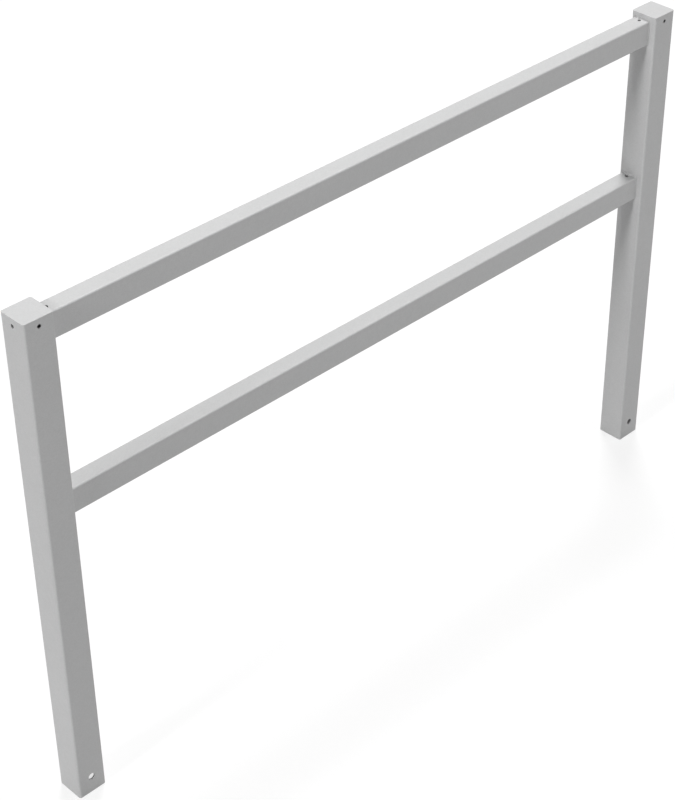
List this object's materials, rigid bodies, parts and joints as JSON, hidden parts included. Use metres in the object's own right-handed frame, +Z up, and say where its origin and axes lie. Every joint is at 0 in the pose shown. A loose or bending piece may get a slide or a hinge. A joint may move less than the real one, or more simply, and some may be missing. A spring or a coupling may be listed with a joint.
{
  "type": "steel path barrier",
  "caption": "Path barrier of galvanised steel: square posts set in the ground, joined by rectangular rails with welded ends and capped tops.",
  "frame": {"origin": "on the ground plane of the open post feet, midway between the two posts and midway between their front and back faces", "axes": "+X along the rails from the left post to the right post, +Y from the front face to the back, +Z up along the posts"},
  "size_m": [2.16, 0.08, 1.4],
  "materials": {
    "galvanised_steel": "matt hot-dip galvanised, with a fine mottled grain",
    "galvanised_weld": "matt hot-dip galvanised over a rippled weld bead"
  },
  "bodies": {
    "root": {"left_post": "galvanised_steel", "right_post": "galvanised_steel", "left_cap": "galvanised_steel", "right_cap": "galvanised_steel", "upper_rail": "galvanised_steel", "lower_rail": "galvanised_steel", "upper_left_weld": "galvanised_weld", "upper_right_weld": "galvanised_weld", "lower_left_weld": "galvanised_weld", "lower_right_weld": "galvanised_weld"}
  },
  "joints": []
}
